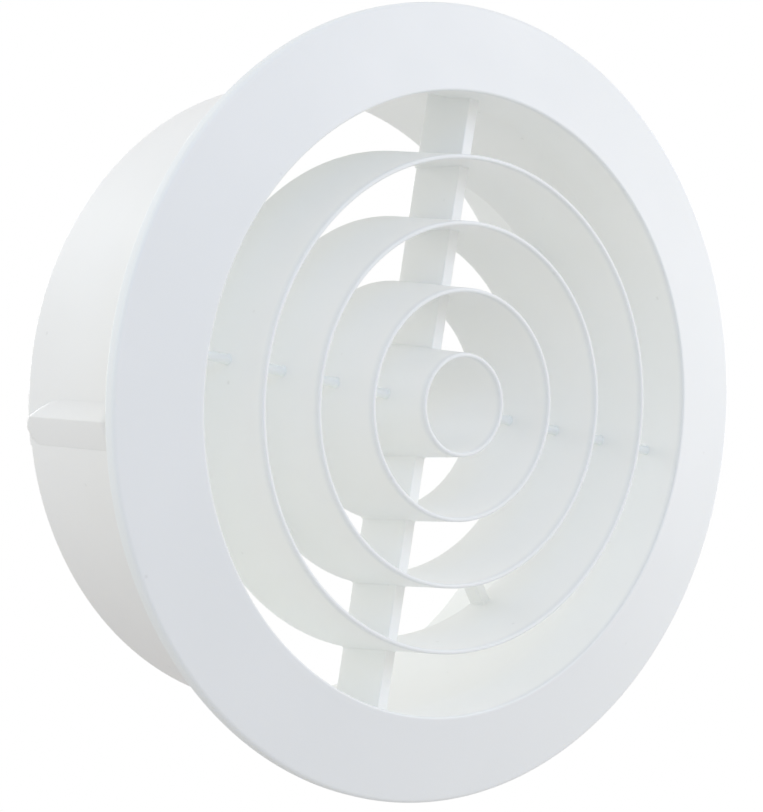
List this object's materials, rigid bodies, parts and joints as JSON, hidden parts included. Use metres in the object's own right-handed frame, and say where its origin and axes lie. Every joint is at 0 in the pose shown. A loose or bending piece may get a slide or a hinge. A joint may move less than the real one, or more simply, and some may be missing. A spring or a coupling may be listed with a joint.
{
  "type": "ceiling air diffuser",
  "caption": "Round white air diffuser with a dished face flange, concentric air rings on cross webs and a collar that slides into a round duct.",
  "frame": {"origin": "on the duct axis, in the plane of the flange's flat back edge, which lies on the ceiling or wall", "axes": "+Y along the duct axis into the duct, so the face looks along -Y; +Z along the upper webs; in a ceiling the face points down"},
  "size_m": [0.15, 0.0528, 0.15],
  "materials": {
    "face_plastic": "satin white moulded plastic",
    "collar_plastic": "satin white moulded plastic",
    "ring_plastic": "satin white moulded plastic",
    "web_plastic": "satin white moulded plastic"
  },
  "bodies": {
    "root": {"face_flange": "face_plastic", "duct_collar": "collar_plastic", "collar_key_rib": "collar_plastic", "air_ring_centre": "ring_plastic", "air_ring_second": "ring_plastic", "air_ring_third": "ring_plastic", "air_ring_outer": "ring_plastic", "web_upper_centre": "web_plastic", "web_upper_second": "web_plastic", "web_upper_third": "web_plastic", "web_upper_outer": "web_plastic", "web_lower_centre": "web_plastic", "web_lower_second": "web_plastic", "web_lower_third": "web_plastic", "web_lower_outer": "web_plastic", "spoke_right_centre": "web_plastic", "spoke_right_second": "web_plastic", "spoke_right_third": "web_plastic", "spoke_right_outer": "web_plastic", "spoke_left_centre": "web_plastic", "spoke_left_second": "web_plastic", "spoke_left_third": "web_plastic", "spoke_left_outer": "web_plastic", "ring_tie_upper_right": "web_plastic", "ring_tie_lower_left": "web_plastic", "ring_tie_lower_right": "web_plastic"}
  },
  "joints": []
}
